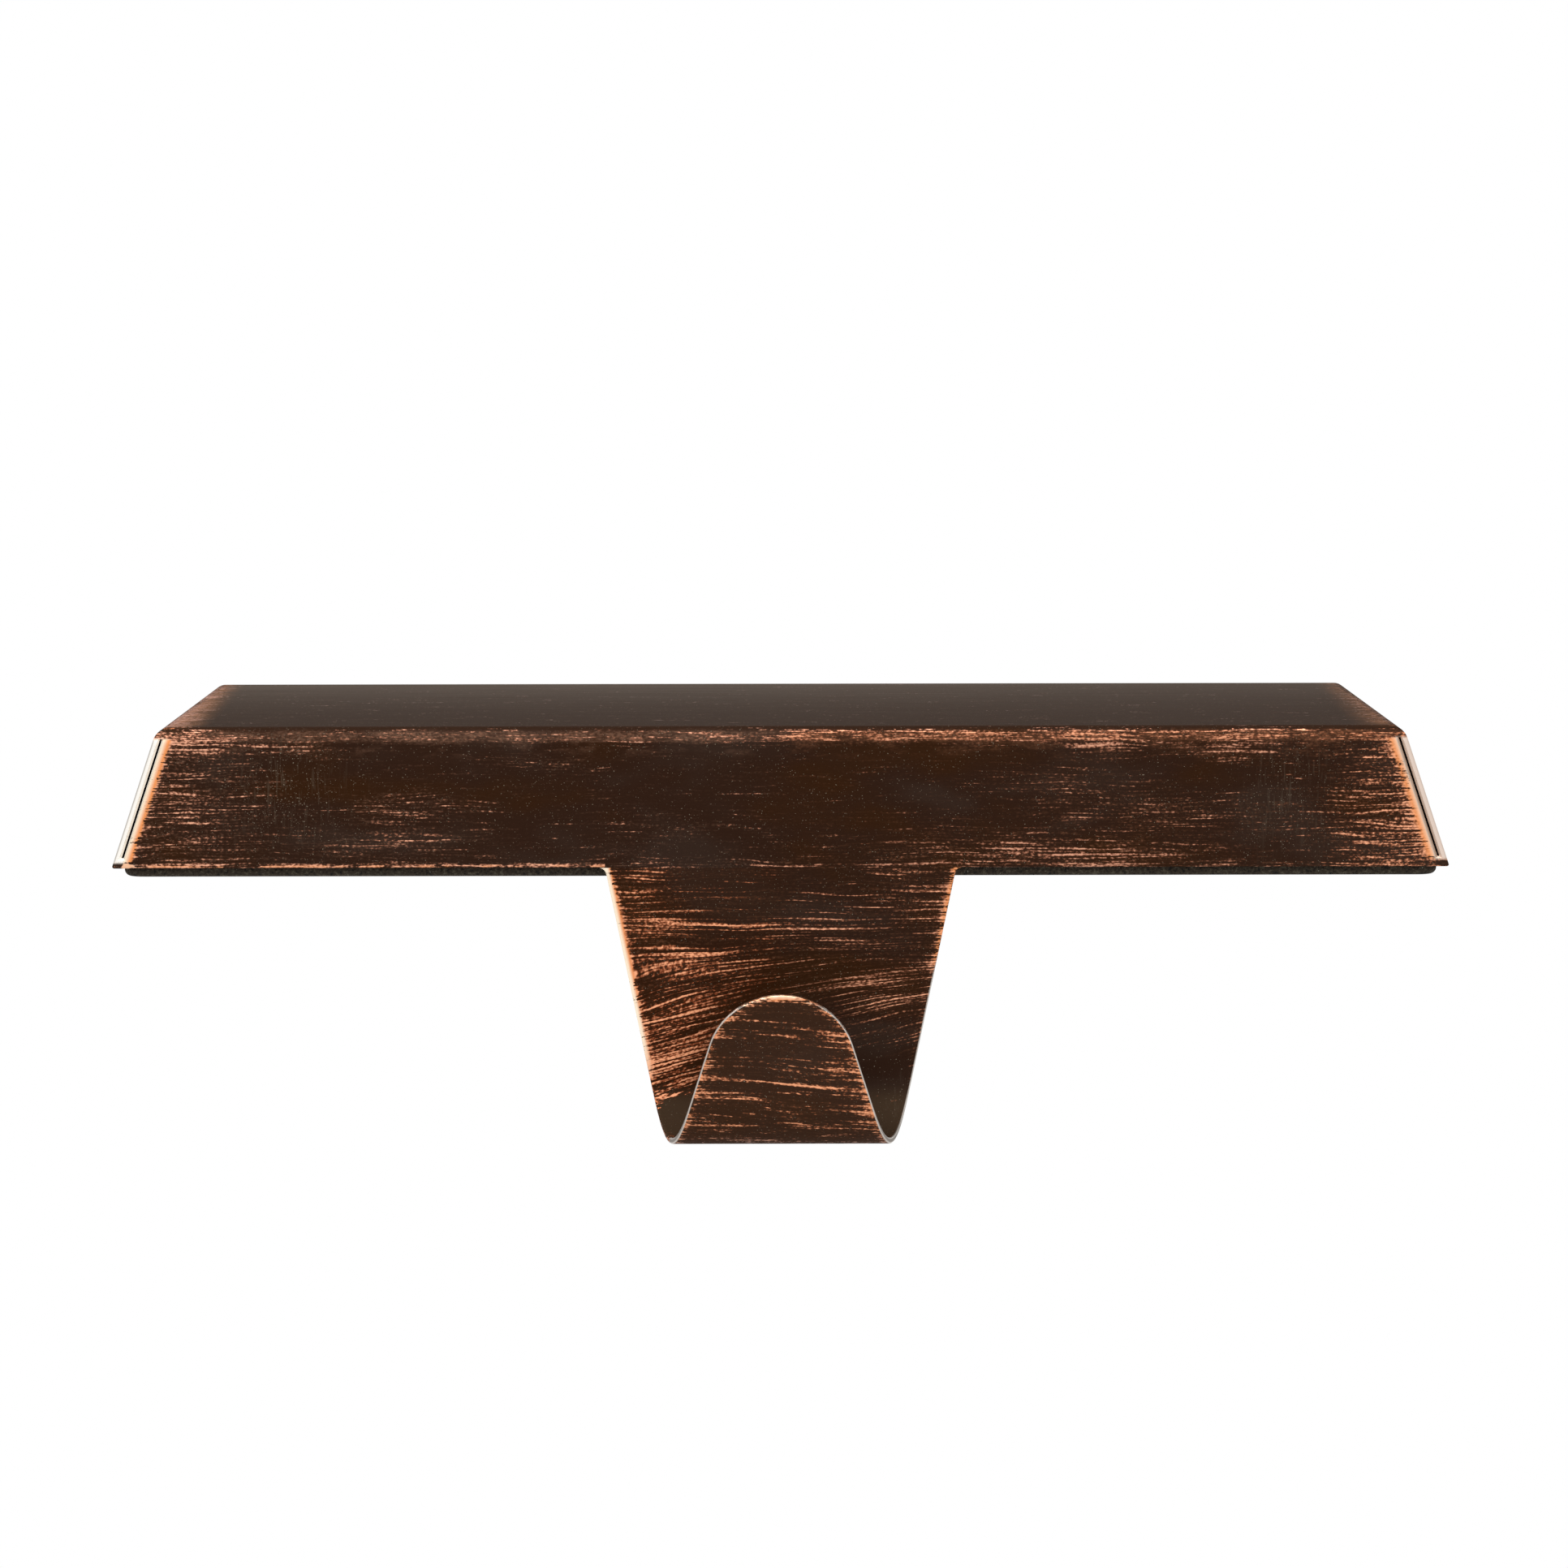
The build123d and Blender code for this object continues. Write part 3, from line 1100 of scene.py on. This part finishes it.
@dataclass(frozen=True)
class GrainedPad:
    """Black non-slip sheet with a fine open grain and pale specks."""

    ground: Colour = shade(50, 42, 33)
    grain: Colour = shade(78, 72, 60)
    pore: Colour = shade(20, 18, 15)
    speck: Colour = shade(150, 150, 138)
    cells: Mottle = Mottle(0.30, 0.30, 0.30, 2.0, 0.6)
    flecks: Mottle = Mottle(0.16, 0.16, 0.16, 1.0, 0.5)
    grain_from: Span = (0.50, 0.72)
    pore_from: Span = (0.46, 0.32)
    speck_from: Span = (0.74, 0.80)
    rough: Span = (0.72, 0.92)
    gloss: float = 0.15
    bump: float = 0.7
    bump_depth: float = 0.00025  # metres


@dataclass
class BasePad:
    """Pad glued beneath the weight."""

    node: str = "base_pad"

    def dress(self, finish: GrainedPad) -> bpy.types.Object:
        """Gives the pad its grain.

        Args:
            finish: Colours and grain of the pad.

        Returns:
            The pad's object.
        """
        material, graph = new_material("pad_grain")
        place = Place(graph)
        cells = finish.cells.over(place)
        flecks = finish.flecks.over(place)
        colour = graph.tint(cells.ramp(*finish.grain_from), finish.ground, finish.grain)
        colour = graph.tint(cells.ramp(*finish.pore_from), colour, finish.pore)
        graph.surface({
            "Base Color": graph.tint(flecks.ramp(*finish.speck_from), colour, finish.speck),
            "Roughness": cells.between(*finish.rough),
            "Specular IOR Level": finish.gloss,
            "Normal": graph.bump(cells, finish.bump, finish.bump_depth),
        })
        return dress_node(self.node, material)


@dataclass(frozen=True)
class Lamp:
    """A square soft lamp: its place and aim in metres, its side in metres and its power in watts."""

    name: str
    place: Point
    aim: Point
    side: float
    power: float


@dataclass
class Studio:
    """Floor, lamps, world and camera. Sizes in metres and degrees."""

    floor_z: float = -0.12
    floor_half: float = 3.0
    paper_from: float = 0.10  # the floor goes over to plain white from here
    paper_to: float = 0.20
    paper: Colour = shade(240, 240, 239)
    paper_fibre: Colour = shade(246, 246, 245)
    fibres: Mottle = Mottle(2.0, 2.0, 2.0, 3.0, 0.6)
    paper_rough: float = 0.9
    ambient: float = 0.50
    camera_place: Point = (-0.00044, -0.61715, 0.05732)
    camera_yaw: float = -0.076
    camera_pitch: float = 4.731
    camera_roll: float = -0.097
    camera_near: float = 0.01
    lens: float = 142.09  # millimetres
    sensor: float = 36.0
    lamps: tuple[Lamp, ...] = (
        Lamp("key_lamp", (-0.55, -0.55, 0.65), (0.0, -0.02, 0.0), 0.45, 4.6),
        Lamp("fill_lamp", (0.70, -0.70, 0.35), (0.0, -0.02, 0.0), 0.60, 1.6),
        Lamp("top_lamp", (0.0, 0.10, 0.90), (0.0, 0.0, 0.0), 0.60, 2.4),
    )

    def shown(self, graph: Graph) -> Field:
        """Finds rays that see the background: from the camera, off gloss and through glass.

        Args:
            graph: Where the nodes go.

        Returns:
            One for these rays.
        """
        path = graph.node("ShaderNodeLightPath", {}, {})
        names = ("Is Camera Ray", "Is Glossy Ray", "Is Transmission Ray")
        camera, glossy, through = (Field(graph, path.outputs[name]) for name in names)
        return (camera + glossy + through).at_most(1.0)

    def paper_material(self) -> bpy.types.Material:
        """Makes the floor's pale paper, which goes over to white further out.

        Returns:
            The material.
        """
        material, graph = new_material("white_paper")
        place = Place(graph)
        reach = (place.x * place.x + place.y * place.y) ** 0.5
        far = reach.ramp(self.paper_from * MM, self.paper_to * MM) * self.shown(graph)
        near_white = graph.tint(self.fibres.over(place), self.paper, self.paper_fibre)
        matt = {"Base Color": near_white, "Roughness": self.paper_rough, "Specular IOR Level": 0.0}
        paper = graph.value("ShaderNodeBsdfPrincipled", {}, matt)
        white = graph.value("ShaderNodeEmission", {}, {"Color": WHITE, "Strength": 1.0})
        mixed = graph.value("ShaderNodeMixShader", {}, {0: far, 1: paper, 2: white})
        graph.node("ShaderNodeOutputMaterial", {}, {"Surface": mixed})
        return material

    def build_floor(self) -> bpy.types.Object:
        """Lays the pale floor, which keeps the part's shadow.

        Returns:
            The floor's object.
        """
        mesh = bpy.data.meshes.new("floor")
        sheet = bmesh.new()
        bmesh.ops.create_grid(sheet, x_segments=1, y_segments=1, size=self.floor_half)
        sheet.to_mesh(mesh)
        sheet.free()
        floor = bpy.data.objects.new("floor", mesh)
        floor.location.z = self.floor_z
        bpy.context.scene.collection.objects.link(floor)
        mesh.materials.append(self.paper_material())
        return floor

    def build_world(self) -> None:
        """Makes the even surround: white where it is seen, softer as light."""
        world = bpy.data.worlds.new("studio")
        bpy.context.scene.world = world
        world.use_nodes = True
        graph = Graph(world.node_tree)
        soft = graph.value("ShaderNodeBackground", {}, {"Color": WHITE, "Strength": self.ambient})
        white = graph.value("ShaderNodeBackground", {}, {"Color": WHITE, "Strength": 1.0})
        mixed = graph.value("ShaderNodeMixShader", {}, {0: self.shown(graph), 1: soft, 2: white})
        graph.node("ShaderNodeOutputWorld", {}, {"Surface": mixed})

    def build_lamp(self, lamp: Lamp) -> bpy.types.Object:
        """Hangs one soft lamp.

        Args:
            lamp: The lamp's place, aim, size and power.

        Returns:
            The lamp's object.
        """
        light = bpy.data.lights.new(lamp.name, "AREA")
        light.size = lamp.side
        light.energy = lamp.power
        holder = bpy.data.objects.new(lamp.name, light)
        holder.location = lamp.place
        ray = Vector(lamp.aim) - Vector(lamp.place)
        holder.rotation_euler = ray.to_track_quat("-Z", "Y").to_euler()
        bpy.context.scene.collection.objects.link(holder)
        return holder

    def build_camera(self) -> bpy.types.Object:
        """Sets the camera at the height, distance and angle of the product view.

        Returns:
            The camera's object.
        """
        yaw, pitch, roll = (math.radians(a) for a in (self.camera_yaw, self.camera_pitch, self.camera_roll))
        right = Vector((math.cos(yaw), math.sin(yaw), 0.0))
        level = Vector((-math.sin(yaw), math.cos(yaw), 0.0))
        ahead = level * math.cos(pitch) - Vector((0.0, 0.0, math.sin(pitch)))
        up = right.cross(ahead)
        side = right * math.cos(roll) + up * math.sin(roll)
        head = up * math.cos(roll) - right * math.sin(roll)
        lens = bpy.data.cameras.new("camera")
        lens.lens = self.lens
        lens.sensor_width = self.sensor
        lens.sensor_fit = "HORIZONTAL"
        lens.clip_start = self.camera_near
        camera = bpy.data.objects.new("camera", lens)
        turn = Matrix((side, head, -ahead)).transposed().to_4x4()
        camera.matrix_world = Matrix.Translation(self.camera_place) @ turn
        bpy.context.scene.collection.objects.link(camera)
        bpy.context.scene.camera = camera
        return camera

    def build(self) -> None:
        """Builds the whole studio."""
        bpy.context.scene.view_settings.view_transform = "Standard"
        self.build_world()
        for lamp in self.lamps:
            log.info("hung %s", self.build_lamp(lamp).name)
        log.info("laid %s", self.build_floor().name)
        log.info("set %s", self.build_camera().name)


def main() -> None:
    """Dresses the part piece by piece and builds the studio round it."""
    logging.basicConfig(level=logging.INFO, format="%(name)s: %(message)s")
    log.info("dressed %s", Cover().dress(BrushedBronze()).name)
    log.info("dressed %s", Weight().dress(RawIron()).name)
    log.info("dressed %s", BasePad().dress(GrainedPad()).name)
    Studio().build()


if __name__ == "__main__":
    main()
